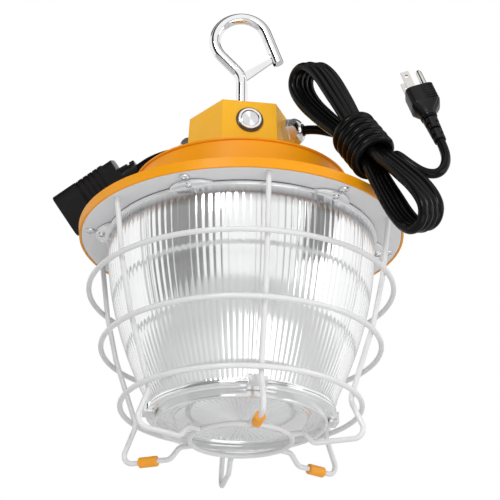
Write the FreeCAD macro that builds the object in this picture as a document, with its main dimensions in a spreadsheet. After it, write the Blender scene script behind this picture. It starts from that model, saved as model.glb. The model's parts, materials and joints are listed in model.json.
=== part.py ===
import FreeCAD, Part
import math
import os
import re

import Sketcher

# A hanging LED work light: a spun bell housing with a hexagonal wiring box and a swivelling
# snap hook on top, a clear fluted lens bucket below it inside a white wire guard, a push
# button, a mains lead tied in a hank with its plug, and a short outlet lead with a socket.
# Millimetres, +Z up. The origin is on the lamp's axis, at the height of its three sleeved feet.
# An azimuth is counted from the front, -Y, where the button is, towards +X.

Vector = FreeCAD.Vector
Rotation = FreeCAD.Rotation
Placement = FreeCAD.Placement

SIZES = {
    # bell housing: heights named rise are counted from the rim's lower edge
    "rim_height": 173.5,
    "rim_radius": 125.0,
    "lip_rise": 7.2,
    "lip_flare": 0.6,
    "sheet_metal": 1.6,
    "drum_radius": 82.6,
    "drum_rise": 44.5,
    "drum_flange_radius": 70.0,
    "brim_rise": 12.0,
    "foot_arc": 15.5,
    "boss_radius": 4.0,
    "boss_top_rise": 7.4,
    # lid on the drum and hexagonal wiring box on the lid
    "lid_radius": 84.0,
    "lid_thickness": 2.0,
    "lid_wire_hole": 7.0,
    "lid_wire_offset": 20.0,
    "box_top_rise": 103.7,
    "box_corner": 41.9,
    "box_draft": 2.5,
    "box_wall": 2.2,
    "box_boss_radius": 4.0,
    "box_boss_circle": 32.0,
    "box_boss_length": 12.0,
    # white guard plate, heat spreader and light board
    "plate_under": 0.3,
    "plate_thickness": 1.5,
    "plate_radius": 123.2,
    "plate_hole": 100.0,
    "spreader_radius": 111.8,
    "spreader_thickness": 2.0,
    "board_radius": 92.0,
    "board_thickness": 1.6,
    "chip_side": 3.5,
    "chip_thickness": 0.7,
    "driver_long": 100.0,
    "driver_wide": 60.0,
    "driver_tall": 30.0,
    "terminal_long": 22.0,
    "terminal_wide": 12.0,
    "terminal_tall": 14.0,
    "wire_gap": 5.0,
    "inner_wire_radius": 1.2,
    # screws
    "plate_screw_circle": 117.0,
    "plate_screw_head": 4.0,
    "plate_screw_head_tall": 2.4,
    "lens_screw_circle": 108.3,
    "lens_screw_head": 3.0,
    "lens_screw_head_tall": 2.0,
    "lid_screw_circle": 76.0,
    "screw_radius": 1.6,
    "screw_play": 0.05,
    "hole_play": 0.5,
    # lens bucket, its lugs, gasket, end cap and clips
    "lens_radius": 102.9,
    "lens_wall": 2.4,
    "lens_arc": 271.0,
    "lens_flange_radius": 104.5,
    "lens_flange_drop": 0.5,
    "lens_flange_thickness": 2.0,
    "lens_lug_radius": 112.0,
    "lens_lug_width": 22.0,
    "lens_end_radius": 66.0,
    "lens_end_drop": 139.0,
    "lens_foot_radius": 70.5,
    "lens_foot_thickness": 2.0,
    "cap_flange": 2.2,
    "cap_skirt_radius": 64.0,
    "cap_skirt_wall": 2.4,
    "cap_skirt_drop": 150.0,
    "cap_disc_radius": 50.5,
    "cap_disc_step": 0.8,
    "clip_width": 14.0,
    "clip_outer": 72.7,
    "clip_play": 0.1,
    "clip_thickness": 1.8,
    # wire guard
    "wire": 2.0,
    "weld_depth": 0.3,
    "guard_top_radius": 118.0,
    "upper_ring_drop": 44.4,
    "middle_ring_drop": 90.6,
    "lower_ring_drop": 136.5,
    "guard_shoulder_radius": 111.5,
    "guard_shoulder_drop": 48.0,
    "guard_hip_radius": 103.0,
    "guard_hip_drop": 85.0,
    "guard_waist_radius": 84.3,
    "guard_waist_drop": 140.0,
    "foot_corner_radius": 97.0,
    "foot_drop": 169.5,
    "foot_inner_radius": 56.0,
    "centre_ring_radius": 37.8,
    "centre_ring_drop": 160.8,
    "rise_radius": 48.5,
    "sleeve_radius": 4.0,
    "sleeve_long": 15.0,
    "sleeve_start": 66.0,
    "sleeve_round": 1.0,
    # hook, counted from the hook's own axis and from the rim's lower edge
    "hook_rod": 4.5,
    "hook_turn": -9.5,
    "hook_end_rise": 88.0,
    "hook_bend_rise": 141.8,
    "hook_bend": 15.0,
    "hook_loop": 21.5,
    "hook_loop_across": 0.5,
    "hook_loop_rise": 180.6,
    "hook_tip_across": 29.7,
    "hook_tip_rise": 159.5,
    "hook_flat": 4.1,
    "gate_slot": 2.2,
    "gate_pivot_across": 0.9,
    "gate_pivot_rise": 145.6,
    "gate_pin_radius": 1.1,
    "gate_half_thickness": 1.2,
    "gate_root_half": 3.6,
    "gate_nose_half": 1.9,
    "gate_long": 28.9,
    "spring_wire": 0.38,
    "spring_coil": 1.56,
    "spring_side": 1.7,
    "collar_radius": 9.0,
    "collar_tall": 8.0,
    "bushing_flange": 10.5,
    "bushing_sleeve": 6.0,
    "running_play": 0.05,
    "nut_corner": 8.0,
    "nut_tall": 8.0,
    # push button on the box's front face, along the button's own axis
    "button_rise": 86.8,
    "button_seal_radius": 10.7,
    "button_seal_thickness": 1.0,
    "bezel_radius": 9.1,
    "bezel_proud": 2.2,
    "bezel_barrel": 8.0,
    "bezel_bore": 6.9,
    "bezel_depth": 16.0,
    "button_radius": 6.75,
    "button_sunk": 0.4,
    "button_depth": 6.0,
    "button_travel": 2.0,
    "switch_long": 12.0,
    "button_nut_corner": 11.0,
    "button_nut_tall": 3.0,
    # cord glands on two of the box's faces
    "gland_rise": 87.5,
    "gland_corner": 10.9,
    "gland_hex_tall": 5.0,
    "gland_thread": 7.5,
    "gland_bore": 4.9,
    "gland_inner": 9.0,
    "gland_nut_corner": 10.5,
    "gland_nut_tall": 9.5,
    "gland_seal_proud": 0.8,
    "gland_seal_tall": 6.0,
    "locknut_tall": 3.5,
    # cord, hank, plug and socket
    "cord_radius": 3.6,
    "lead_straight": 12.9,
    "outlet_straight": 15.0,
    "outlet_last_run": 13.0,
    "hank_half_width": 17.5,
    "hank_half_depth": 15.5,
    "hank_loop_round": 25.0,
    "hank_loop_offset": 81.0,
    "hank_neck_half_width": 14.0,
    "hank_neck_half_depth": 14.0,
    "hank_waist_radius": 19.0,
    "hank_waist_long": 44.0,
    "relief_start": 4.6,
    "relief_end": 6.0,
    "relief_long": 24.0,
    "plug_neck_long": 9.5,
    "plug_body_long": 18.0,
    "plug_wide": 22.0,
    "plug_deep": 18.5,
    "plug_low_side": 9.5,
    "blade_wide": 6.35,
    "blade_thick": 1.52,
    "blade_long": 17.5,
    "blade_side": 6.35,
    "blade_offset": 4.0,
    "blade_hole": 1.6,
    "blade_hole_from_face": 12.5,
    "ground_offset": 7.9,
    "ground_radius": 2.38,
    "ground_long": 20.5,
    "socket_wide": 35.0,
    "socket_deep": 26.0,
    "socket_long": 56.0,
    "socket_round": 4.0,
    "socket_relief_start": 6.5,
    "socket_relief_end": 8.0,
    "socket_relief_long": 14.0,
    "slot_wide": 7.6,
    "slot_thick": 3.2,
    "slot_deep": 16.0,
    "contact_thick": 0.8,
    "ground_hole": 2.9,
    "ground_contact": 2.6,
}

WIRE_AZIMUTHS = [0, 60, 120, 180, 240, 300]
SCREW_AZIMUTHS = [30, 90, 150, 210, 270, 330]
CLIP_AZIMUTHS = [0, 90, 180, 270]
SLEEVED_WIRES = [0, 120, 240]
CORD_GLAND_AZIMUTH = 60
OUTLET_GLAND_AZIMUTH = 240

# The hank's middle, and its axis from its upper to its lower loop, leaning on the rim.
HANK_MIDDLE = Vector(74.9, -98.4, 212.5)
HANK_ALONG = Vector(0.343, -0.441, -0.829)
HANK_ACROSS = Vector(0.333, -0.769, 0.546)
# The lead from the gland to the hank, and the tail from the hank to the plug.
LEAD_ROUTE = [(70.9, -39.3, 252.8), (82.3, -60.0, 241.0), (80.5, -83.0, 230.7)]
TAIL_ROUTE = [
    (92.0, -102.4, 210.9),
    (97.8, -107.9, 201.4),
    (105.2, -112.5, 191.9),
    (115.1, -115.1, 184.2),
    (125.3, -115.2, 184.2),
    (132.3, -112.2, 193.2),
    (135.0, -106.6, 207.0),
    (132.1, -103.2, 218.7),
]
PLUG_AXIS = Vector(-0.233, 0.273, 0.933)
PLUG_GROUND_SIDE = Vector(0.938, -0.184, 0.296)
# The outlet lead droops from its gland to the socket's strain relief.
SOCKET_START = Vector(-77.2, 44.6, 252.9)
SOCKET_AXIS = Vector(-0.765, 0.4415, -0.469)
SOCKET_WIDE_SIDE = Vector(0.606, 0.247, -0.751)

doc = FreeCAD.newDocument("work_light")
sheet = doc.addObject("Spreadsheet::Sheet", "Sizes")
for row, (name, size) in enumerate(SIZES.items(), start=1):
    sheet.set(f"A{row}", name)
    sheet.set(f"B{row}", str(size))
    sheet.setAlias(f"B{row}", name)
doc.recompute()

pieces = []


# ---- helpers -------------------------------------------------------------------------------


def formula(text):
    """The text with the sheet's name before each of the sheet's own words."""
    return re.sub(r"[a-z_]+", lambda w: "Sizes." + w.group() if w.group() in SIZES else w.group(), text)


def value(text):
    """What a formula in the sheet's words comes to, in millimetres or degrees."""
    return float(sheet.evalExpression(str(text)))


def bind(item, **formulas):
    """Ties properties of a document object to formulas in the sheet's words."""
    for prop, text in formulas.items():
        item.setExpression(prop, formula(text))
    return item


def keep(item, label):
    """Marks a document object as a finished piece under that name."""
    item.Label = label
    pieces.append(item)
    return item


def at(x=0.0, y=0.0, z=0.0, turn=0.0):
    """A placement at a point, turned about +Z."""
    return Placement(Vector(x, y, z), Rotation(Vector(0, 0, 1), turn))


def radial(azimuth):
    """A placement that turns the local XZ plane, +X outwards, to an azimuth."""
    return at(turn=azimuth - 90)


def face_of_box(azimuth, rise):
    """A placement on a side of the wiring box at a height: local +Z is the side's outward normal."""
    draft = value("box_draft")
    apothem = value("box_corner") * math.cos(math.radians(30))
    apothem += (value("box_top_rise") - value(rise)) * math.tan(math.radians(draft))
    turn = Rotation(Vector(0, 0, 1), azimuth)
    tip = Rotation(Vector(1, 0, 0), 90 - draft)
    place = turn.multVec(Vector(0, -apothem, 0)) + Vector(0, 0, value("rim_height") + value(rise))
    return Placement(place, turn.multiply(tip))


def along(start, axis, side):
    """A placement at a point with local +Z along axis and local +X as near to side as it goes."""
    return Placement(start, Rotation(side, axis.cross(side), axis, "ZXY"))


def new_body(label):
    body = doc.addObject("PartDesign::Body", label)
    body.Label = label
    return body


def new_sketch(body, plane):
    """A sketch on one of the body's own origin planes."""
    sketch = body.newObject("Sketcher::SketchObject", body.Name + "_sketch")
    support = next(o for o in body.Origin.OriginFeatures if o.Role == plane)
    sketch.AttachmentSupport = [(support, "")]
    sketch.MapMode = "FlatFace"
    return sketch


def arc_middle(start, end, radius, side):
    """The middle point of the arc from start to end that bulges to the left (1) or right (-1)."""
    chord = end - start
    half = chord.Length / 2
    left = Vector(-chord.y, chord.x, 0).normalize()
    return (start + end) / 2 + left * side * (radius - math.sqrt(radius**2 - half**2))


def fix_corner(sketch, edge, vertex, x, y):
    """Ties a vertex of an edge to the formulas of its place, or to an axis where one is zero."""
    if value(x) == 0:
        sketch.addConstraint(Sketcher.Constraint("PointOnObject", edge, vertex, -2))
    else:
        number = sketch.addConstraint(Sketcher.Constraint("DistanceX", -1, 1, edge, vertex, value(x)))
        sketch.setExpression(f"Constraints[{number}]", formula(x))
    if value(y) == 0:
        sketch.addConstraint(Sketcher.Constraint("PointOnObject", edge, vertex, -1))
    else:
        number = sketch.addConstraint(Sketcher.Constraint("DistanceY", -1, 1, edge, vertex, value(y)))
        sketch.setExpression(f"Constraints[{number}]", formula(y))


def draw(sketch, outline):
    """Draws a closed outline of (x, y) formulas. A corner (x, y, radius, side) is reached by an arc."""
    corners = [Vector(value(x), value(y), 0) for x, y, *_ in outline]
    for i, (x, y, *bend) in enumerate(outline):
        start, end = corners[i - 1], corners[i]
        if bend:
            middle = arc_middle(start, end, value(bend[0]), bend[1])
            sketch.addGeometry(Part.Arc(start, middle, end), False)
        else:
            sketch.addGeometry(Part.LineSegment(start, end), False)

    def vertex(edge, corner):
        return 1 if sketch.getPoint(edge, 1).distanceToPoint(corner) < 1e-6 else 2

    count = len(outline)
    for i, (x, y, *bend) in enumerate(outline):
        after = (i + 1) % count
        here = vertex(i, corners[i])
        sketch.addConstraint(Sketcher.Constraint("Coincident", i, here, after, vertex(after, corners[i])))
        fix_corner(sketch, i, here, x, y)
        if bend:
            number = sketch.addConstraint(Sketcher.Constraint("Radius", i, value(bend[0])))
            sketch.setExpression(f"Constraints[{number}]", formula(bend[0]))


def turned(label, outline, placement=None):
    """A body turned about its own Z axis from an outline of (radius, height) formulas."""
    body = new_body(label)
    sketch = new_sketch(body, "XZ_Plane")
    draw(sketch, outline)
    turn = body.newObject("PartDesign::Revolution", label + "_turn")
    turn.Profile = sketch
    turn.ReferenceAxis = (sketch, ["V_Axis"])
    turn.Angle = 360
    body.Placement = placement or Placement()
    return body


def plate(label, outline, thickness, plane="XY_Plane", placement=None, midplane=False):
    """A body padded from an outline of (x, y) formulas."""
    body = new_body(label)
    sketch = new_sketch(body, plane)
    draw(sketch, outline)
    pad = body.newObject("PartDesign::Pad", label + "_pad")
    pad.Profile = sketch
    bind(pad, Length=thickness)
    pad.Midplane = midplane
    body.Placement = placement or Placement()
    return body


def cylinder(name, radius, height, placement):
    piece = bind(doc.addObject("Part::Cylinder", name), Radius=radius, Height=height)
    piece.Placement = placement
    return piece


def box(name, long, wide, tall, placement):
    piece = bind(doc.addObject("Part::Box", name), Length=long, Width=wide, Height=tall)
    piece.Placement = placement
    return piece


def hexagon(name, corner, height, placement):
    piece = bind(doc.addObject("Part::Prism", name), Circumradius=corner, Height=height)
    piece.Polygon = 6
    piece.Placement = placement
    return piece


def ring(name, radius, thickness, placement):
    piece = bind(doc.addObject("Part::Torus", name), Radius1=radius, Radius2=thickness)
    piece.Placement = placement
    return piece


def fuse(name, shapes):
    whole = doc.addObject("Part::MultiFuse", name)
    whole.Shapes = shapes
    return whole


def cut(name, base, tools):
    """The base without the tools."""
    result = doc.addObject("Part::Cut", name)
    result.Base = base
    result.Tool = tools[0] if len(tools) == 1 else fuse(name + "_tools", tools)
    return result


def group(label, shapes):
    """Separate solids of one kind, kept together."""
    together = doc.addObject("Part::Compound", label)
    together.Links = shapes
    return keep(together, label)


def stepped(placement, distance):
    """The same placement, moved along its own +Z."""
    return placement.multiply(Placement(Vector(0, 0, distance), Rotation()))


def on_circle(radius, azimuth, height):
    """A placement on a circle about the lamp's axis."""
    angle = math.radians(azimuth)
    return at(radius * math.sin(angle), -radius * math.cos(angle), height, azimuth)


def holes(name, radius, circle, azimuths, low, high):
    """Cylinders that drill a ring of holes between two heights."""
    bottom, top = value(low), value(high)
    drills = []
    for i, azimuth in enumerate(azimuths):
        place = on_circle(value(circle), azimuth, bottom)
        drill = cylinder(f"{name}_{i}", radius, str(top - bottom), place)
        drills.append(drill)
    return drills


def screws(label, circle, head, head_tall, head_low, shank_top, azimuths, head_up=False):
    """Pan-head screws on a circle. head_low is the height of the head's flat side."""
    made = []
    for i, azimuth in enumerate(azimuths):
        outline = [("0", "0"), (head, "0"), (f"{head} * 0.55", head_tall, head, -1), ("0", head_tall)]
        direction = Rotation() if head_up else Rotation(Vector(1, 0, 0), 180)
        spot = on_circle(value(circle), azimuth, value(head_low))
        dome = turned(f"{label}_head_{i}", outline, Placement(spot.Base, direction))
        length = abs(value(shank_top) - value(head_low))
        foot = min(value(head_low), value(shank_top))
        shank_place = at(spot.Base.x, spot.Base.y, foot)
        shank = cylinder(f"{label}_shank_{i}", "screw_radius", str(length), shank_place)
        made.append(fuse(f"{label}_{i}", [dome, shank]))
    return group(label, made)


# ---- bell housing ---------------------------------------------------------------------------


def make_bell_housing():
    rim, wall = "rim_height", "sheet_metal"
    drum = "drum_radius + 1"
    arc_in = "rim_height + brim_rise"
    arc_up = "rim_height + brim_rise + foot_arc"
    outline = [
        (f"rim_radius - {wall}", rim),
        ("rim_radius", rim),
        ("rim_radius + lip_flare", "rim_height + lip_rise"),
        (f"{drum} + foot_arc", arc_in),
        (drum, arc_up, "foot_arc", 1),
        ("drum_radius", "rim_height + drum_rise"),
        ("drum_flange_radius", "rim_height + drum_rise"),
        ("drum_flange_radius", f"rim_height + drum_rise - {wall}"),
        (f"drum_radius - {wall}", f"rim_height + drum_rise - {wall}"),
        (f"{drum} - {wall}", arc_up),
        (f"{drum} + foot_arc", f"{arc_in} - {wall}", f"foot_arc + {wall}", -1),
        (f"rim_radius - {wall}", f"rim_height + lip_rise - {wall}"),
    ]
    shell = turned("bell_shell", outline)
    bosses = holes(
        "bell_boss", "boss_radius", "plate_screw_circle", SCREW_AZIMUTHS,
        "rim_height + plate_under + plate_thickness", "rim_height + boss_top_rise",
    )
    solid = fuse("bell_with_bosses", [shell] + bosses)
    pilots = holes(
        "bell_pilot", "screw_radius + screw_play", "plate_screw_circle", SCREW_AZIMUTHS,
        "rim_height", "rim_height + boss_top_rise - 1.2",
    )
    top_holes = holes(
        "bell_top_hole", "screw_radius + screw_play", "lid_screw_circle", SCREW_AZIMUTHS,
        "rim_height + drum_rise - 2 * sheet_metal", "rim_height + drum_rise + sheet_metal",
    )
    keep(cut("bell_housing_solid", solid, pilots + top_holes), "bell_housing")


def make_lid():
    low, high = "rim_height + drum_rise", "rim_height + drum_rise + lid_thickness"
    outline = [
        ("0", low),
        ("lid_radius - 0.6", low),
        ("lid_radius", f"{low} + 0.6"),
        ("lid_radius", f"{high} - 0.6"),
        ("lid_radius - 0.6", high),
        ("0", high),
    ]
    disc = turned("lid_disc", outline)
    wire_place = at(0, value("lid_wire_offset"), value(low) - 1)
    wire_hole = cylinder("lid_wire_hole_tool", "lid_wire_hole", "lid_thickness + 2", wire_place)
    outer = holes(
        "lid_hole", "screw_radius + hole_play", "lid_screw_circle", SCREW_AZIMUTHS,
        f"{low} - 1", f"{high} + 1",
    )
    inner = holes(
        "lid_box_hole", "screw_radius + hole_play", "box_boss_circle", SCREW_AZIMUTHS[1::2],
        f"{low} - 1", f"{high} + 1",
    )
    keep(cut("top_lid_solid", disc, [wire_hole] + outer + inner), "top_lid")
    screws("lid_screws", "lid_screw_circle", "plate_screw_head", "plate_screw_head_tall",
           high, f"{low} - sheet_metal - 1", SCREW_AZIMUTHS, head_up=True)


# ---- wiring box, its screws and what it holds -------------------------------------------------


def hexagon_loft(name, corner_top, corner_base, low, high):
    """A six-sided block that widens downwards."""
    ends = []
    for end, corner, height in (("base", corner_base, low), ("top", corner_top, high)):
        outline = doc.addObject("Part::RegularPolygon", f"{name}_{end}")
        outline.Polygon = 6
        bind(outline, Circumradius=corner)
        outline.Placement = at(0, 0, value(height))
        ends.append(outline)
    block = doc.addObject("Part::Loft", name)
    block.Sections = ends
    block.Solid = True
    block.Ruled = True
    return block


def make_box():
    base = "rim_height + drum_rise + lid_thickness"
    top = "rim_height + box_top_rise"
    spread = "(box_top_rise - drum_rise - lid_thickness) * tan(box_draft) / cos(30)"
    outer = hexagon_loft("box_outer", "box_corner", f"box_corner + {spread}", base, top)
    thin = "box_wall / cos(30)"
    inner_top = f"box_corner - {thin} + box_wall * tan(box_draft) / cos(30)"
    inner = hexagon_loft(
        "box_inner", inner_top, f"box_corner + {spread} - {thin}", base, f"{top} - box_wall",
    )
    shell = cut("box_shell", outer, [inner])
    azimuths = SCREW_AZIMUTHS[1::2]
    bosses = holes(
        "box_boss", "box_boss_radius", "box_boss_circle", azimuths, base, f"{base} + box_boss_length",
    )
    solid = fuse("box_with_bosses", [shell] + bosses)
    pilots = holes(
        "box_pilot", "screw_radius + screw_play", "box_boss_circle", azimuths,
        f"{base} - 1", f"{base} + box_boss_length - 2",
    )
    hook_hole = cylinder(
        "box_hook_hole", "bushing_sleeve", "3 * box_wall", at(0, 0, value(f"{top} - 2 * box_wall")),
    )
    front = stepped(face_of_box(0, "button_rise"), -2 * value("box_wall"))
    button_hole = cylinder("box_button_hole", "bezel_barrel", "4 * box_wall", front)
    gland_holes = []
    for i, azimuth in enumerate((CORD_GLAND_AZIMUTH, OUTLET_GLAND_AZIMUTH)):
        side = stepped(face_of_box(azimuth, "gland_rise"), -2 * value("box_wall"))
        gland_holes.append(cylinder(f"box_gland_hole_{i}", "gland_thread", "4 * box_wall", side))
    tools = pilots + [hook_hole, button_hole] + gland_holes
    keep(cut("wiring_box_solid", solid, tools), "wiring_box")
    screws("box_screws", "box_boss_circle", "plate_screw_head", "plate_screw_head_tall",
           "rim_height + drum_rise", f"{base} + box_boss_length - 3", azimuths)


def make_electrics():
    spreader_top = "rim_height + plate_under + plate_thickness + spreader_thickness"
    high = value(spreader_top)
    driver_place = at(-value("driver_long") / 2, -value("driver_wide") / 2, high)
    keep(box("driver_module", "driver_long", "driver_wide", "driver_tall", driver_place), "driver_module")
    lid_top = value("rim_height + drum_rise + lid_thickness")
    offset = value("lid_wire_offset")
    terminal_place = at(-value("terminal_long") / 2, offset - value("terminal_wide") / 2, lid_top)
    keep(box("terminal_block", "terminal_long", "terminal_wide", "terminal_tall", terminal_place),
         "terminal_block")
    leads = []
    driver_top = high + value("driver_tall")
    for i in (-1, 0, 1):
        place = at(i * value("wire_gap"), offset, driver_top)
        leads.append(cylinder(f"inner_lead_{i + 1}", "inner_wire_radius", str(lid_top - driver_top), place))
    group("inner_leads", leads)


# ---- guard plate, heat spreader, light board --------------------------------------------------


def make_plates():
    low = "rim_height + plate_under"
    high = f"{low} + plate_thickness"
    outline = [("plate_hole", low), ("plate_radius", low), ("plate_radius", high), ("plate_hole", high)]
    disc = turned("guard_plate_disc", outline)
    outer = holes("plate_hole_outer", "screw_radius + hole_play", "plate_screw_circle", SCREW_AZIMUTHS,
                  f"{low} - 1", f"{high} + 1")
    inner = holes("plate_hole_inner", "screw_radius + hole_play", "lens_screw_circle", SCREW_AZIMUTHS,
                  f"{low} - 1", f"{high} + 1")
    keep(cut("guard_plate_solid", disc, outer + inner), "guard_plate")
    screws("plate_screws", "plate_screw_circle", "plate_screw_head", "plate_screw_head_tall",
           low, "rim_height + boss_top_rise - 1.6", SCREW_AZIMUTHS)

    top = f"{high} + spreader_thickness"
    outline = [("0", high), ("spreader_radius", high), ("spreader_radius", top), ("0", top)]
    spreader = turned("spreader_disc", outline)
    pilots = holes("spreader_pilot", "screw_radius + screw_play", "lens_screw_circle", SCREW_AZIMUTHS,
                   f"{high} - 1", f"{top} + 1")
    keep(cut("heat_spreader_solid", spreader, pilots), "heat_spreader")

    board_low = f"{high} - board_thickness"
    outline = [("0", board_low), ("board_radius", board_low), ("board_radius", high), ("0", high)]
    keep(turned("light_board", outline), "light_board")

    chips = []
    chip_low = value(f"{board_low} - chip_thickness")
    side = value("chip_side")
    for circle, count in ((16, 6), (34, 12), (52, 18), (70, 24)):
        for i in range(count):
            spot = on_circle(circle, i * 360 / count, chip_low)
            corner = spot.multVec(Vector(-side / 2, -side / 2, 0))
            place = Placement(corner, spot.Rotation)
            chips.append(box(f"chip_{circle}_{i}", "chip_side", "chip_side", "chip_thickness", place))
    group("light_chips", chips)

    seal_place = at(0, 0, value(f"{high} + 1.05"))
    keep(ring("rim_seal", "plate_radius - 0.95", "1.0", seal_place), "rim_seal")


# ---- lens bucket, gasket, cap and clips -------------------------------------------------------


def make_lens():
    flange_high = "rim_height - lens_flange_drop"
    flange_low = f"{flange_high} - lens_flange_thickness"
    end = "rim_height - lens_end_drop"
    foot = f"{end} - lens_foot_thickness"
    outline = [
        ("lens_radius - lens_wall", flange_high),
        ("lens_flange_radius", flange_high),
        ("lens_flange_radius", flange_low),
        ("lens_radius", flange_low),
        ("lens_end_radius", end, "lens_arc", 1),
        ("lens_foot_radius", end),
        ("lens_foot_radius", foot),
        ("lens_end_radius - lens_wall", foot),
        ("lens_end_radius - lens_wall", end),
        ("lens_radius - lens_wall", flange_low, "lens_arc", -1),
    ]
    bucket = turned("lens_bucket_wall", outline)
    lugs = []
    for i, azimuth in enumerate(SCREW_AZIMUTHS):
        inner, outer, half = "lens_radius - 1", "lens_lug_radius", "lens_lug_width / 2"
        corners = [(inner, f"0 - {half}"), (outer, f"0 - {half}"), (outer, half), (inner, half)]
        place = Placement(Vector(0, 0, value(flange_low)), radial(azimuth).Rotation)
        lugs.append(plate(f"lens_lug_{i}", corners, "lens_flange_thickness", placement=place))
    solid = fuse("lens_with_lugs", [bucket] + lugs)
    drills = holes("lens_hole", "screw_radius + hole_play", "lens_screw_circle", SCREW_AZIMUTHS,
                   f"{flange_low} - 1", f"{flange_high} + 1")
    keep(cut("lens_bucket_solid", solid, drills), "lens_bucket")
    screws("lens_screws", "lens_screw_circle", "lens_screw_head", "lens_screw_head_tall", flange_low,
           "rim_height + plate_under + plate_thickness + spreader_thickness", SCREW_AZIMUTHS)

    under = "rim_height + plate_under"
    outline = [
        ("plate_hole + 0.8", flange_high),
        ("lens_flange_radius - 0.4", flange_high),
        ("lens_flange_radius - 0.4", under),
        ("plate_hole + 0.8", under),
    ]
    keep(turned("lens_gasket", outline), "lens_gasket")
    seal_place = at(0, 0, value(f"{foot} + 1.1"))
    keep(ring("cap_seal", "lens_end_radius - lens_wall - 1.4", "1.1", seal_place), "cap_seal")

    cap_low = f"{foot} - cap_flange"
    skirt_in = "cap_skirt_radius - cap_skirt_wall"
    outline = [
        ("0", foot),
        ("lens_foot_radius", foot),
        ("lens_foot_radius", cap_low),
        ("cap_skirt_radius", cap_low),
        ("cap_skirt_radius", "rim_height - cap_skirt_drop"),
        (skirt_in, "rim_height - cap_skirt_drop"),
        (skirt_in, cap_low),
        ("cap_disc_radius", cap_low),
        ("cap_disc_radius", f"{cap_low} - cap_disc_step"),
        ("0", f"{cap_low} - cap_disc_step"),
    ]
    keep(turned("lens_cap", outline), "lens_cap")

    clips = []
    for i, azimuth in enumerate(CLIP_AZIMUTHS):
        grip_high, grip_low = f"{end} + clip_play", f"{cap_low} - clip_play"
        inside = "lens_foot_radius + clip_play"
        profile = [
            ("lens_foot_radius - 1.5", grip_high),
            (inside, grip_high),
            (inside, grip_low),
            ("cap_skirt_radius + 1.5", grip_low),
            ("cap_skirt_radius + 1.5", f"{grip_low} - clip_thickness"),
            ("clip_outer", f"{grip_low} - clip_thickness"),
            ("clip_outer", f"{grip_high} + clip_thickness"),
            ("lens_foot_radius - 1.5", f"{grip_high} + clip_thickness"),
        ]
        clips.append(plate(f"cap_clip_{i}", profile, "clip_width", "XZ_Plane", radial(azimuth), True))
    group("cap_clips", clips)


# ---- wire guard -------------------------------------------------------------------------------


def bent_path(sketch, corners):
    """An open path of straight runs and tangent arcs. corners are (x, y) or (x, y, radius) formulas."""
    points = [Vector(value(x), value(y), 0) for x, y, *_ in corners]
    starts, ends = list(points[:-1]), list(points[1:])
    arcs = []
    for i in range(1, len(points) - 1):
        into = (points[i] - points[i - 1]).normalize()
        out = (points[i + 1] - points[i]).normalize()
        half_turn = into.getAngle(out) / 2
        radius = value(corners[i][2])
        reach = radius * math.tan(half_turn)
        before, after = points[i] - into * reach, points[i] + out * reach
        inwards = (out - into).normalize()
        centre = points[i] + inwards * (radius / math.cos(half_turn))
        arcs.append((before, centre - inwards * radius, after))
        ends[i - 1], starts[i] = before, after
    lines = [sketch.addGeometry(Part.LineSegment(a, b), False) for a, b in zip(starts, ends)]
    for i, arc in enumerate(arcs, start=1):
        bend = sketch.addGeometry(Part.Arc(*arc), False)
        first = 1 if sketch.getPoint(bend, 1).distanceToPoint(arc[0]) < 1e-6 else 2
        sketch.addConstraint(Sketcher.Constraint("Tangent", lines[i - 1], 2, bend, first))
        sketch.addConstraint(Sketcher.Constraint("Tangent", lines[i], 1, bend, 3 - first))
        number = sketch.addConstraint(Sketcher.Constraint("Radius", bend, value(corners[i][2])))
        sketch.setExpression(f"Constraints[{number}]", formula(corners[i][2]))
        x, y = corners[i][:2]
        corner = sketch.addGeometry(Part.Point(points[i]), True)
        fix_corner(sketch, corner, 1, x, y)
        for line in (lines[i - 1], lines[i]):
            sketch.addConstraint(Sketcher.Constraint("PointOnObject", corner, 1, line))
    fix_corner(sketch, lines[0], 1, *corners[0][:2])
    fix_corner(sketch, lines[-1], 2, *corners[-1][:2])


def bent_wire(label, corners, thickness, placement):
    """A body swept along a bent path in its own XZ plane. The path starts straight down or up."""
    body = new_body(label)
    path = new_sketch(body, "XZ_Plane")
    bent_path(path, corners)
    section = body.newObject("Sketcher::SketchObject", label + "_section")
    section.AttachmentSupport = [(path, "Edge1")]
    section.MapMode = "NormalToEdge"
    section.addGeometry(Part.Circle(Vector(0, 0, 0), Vector(0, 0, 1), value(thickness)), False)
    section.addConstraint(Sketcher.Constraint("Coincident", 0, 3, -1, 1))
    number = section.addConstraint(Sketcher.Constraint("Radius", 0, value(thickness)))
    section.setExpression(f"Constraints[{number}]", formula(thickness))
    pipe = body.newObject("PartDesign::AdditivePipe", label + "_pipe")
    pipe.Profile = section
    pipe.Spine = path
    body.Placement = placement
    return body


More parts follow.
